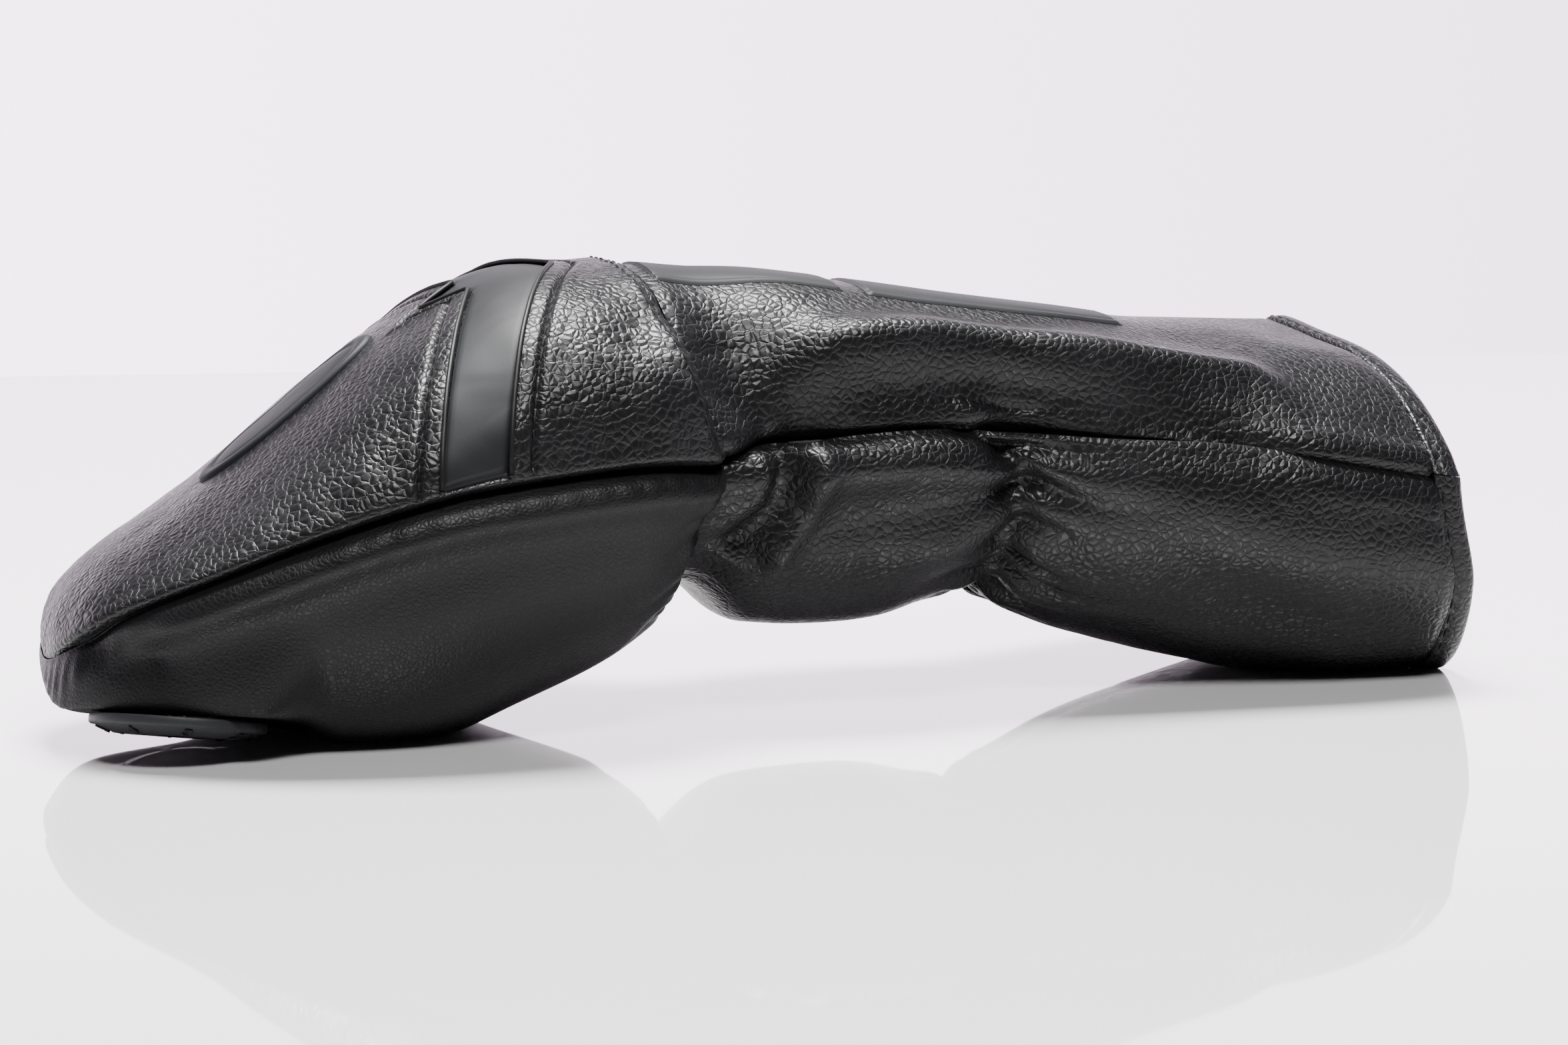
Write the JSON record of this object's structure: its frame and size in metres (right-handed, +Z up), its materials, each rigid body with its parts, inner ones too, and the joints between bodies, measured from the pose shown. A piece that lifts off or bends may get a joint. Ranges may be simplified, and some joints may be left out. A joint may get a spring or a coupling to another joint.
{
  "type": "golf club headcover",
  "caption": "Soft padded leather headcover for a golf club: a closed head pouch, a gathered elastic neck, a flared open mouth and a turning number dial under the toe.",
  "frame": {"origin": "on the surface the cover lies on, under the middle of its overall length and width", "axes": "+X from the closed toe to the open mouth, +Z up through the crown, -Y towards the side the dial is on"},
  "size_m": [0.2823, 0.0918, 0.0889],
  "materials": {
    "pebbled_leather": "satin",
    "fine_grain_leather": "satin",
    "matte_inlay": "matte",
    "foam_padding": "matte",
    "plush_lining": "matte",
    "elastic_webbing": "matte",
    "dial_plastic": "satin",
    "base_plastic": "satin",
    "rivet_steel": "satin"
  },
  "bodies": {
    "cover": {"crown_panel": "pebbled_leather", "sole_panel": "fine_grain_leather", "neck_top_panel": "pebbled_leather", "neck_under_panel": "pebbled_leather", "mouth_hem_top": "pebbled_leather", "mouth_hem_under": "pebbled_leather", "crown_inlay": "matte_inlay", "toe_patch": "matte_inlay", "neck_strip_front": "matte_inlay", "neck_strip_rear": "matte_inlay", "crown_foam": "foam_padding", "sole_foam": "foam_padding", "neck_top_foam": "foam_padding", "crown_lining": "plush_lining", "sole_lining": "plush_lining", "neck_top_lining": "plush_lining", "neck_under_lining": "plush_lining", "waist_elastic": "elastic_webbing", "neck_elastic": "elastic_webbing", "dial_base": "base_plastic", "dial_rivet": "rivet_steel", "dial_spring_washer": "rivet_steel", "rivet_backing_washer": "rivet_steel"},
    "dial": {"number_dial": "dial_plastic"}
  },
  "joints": [
    {"name": "dial_turn", "type": "hinge", "parent": "cover", "child": "dial", "pos_m": [-0.1193, -0.01883, 0.0073], "axis": [-0.1367, -0.189, -0.9724], "continuous": true}
  ]
}
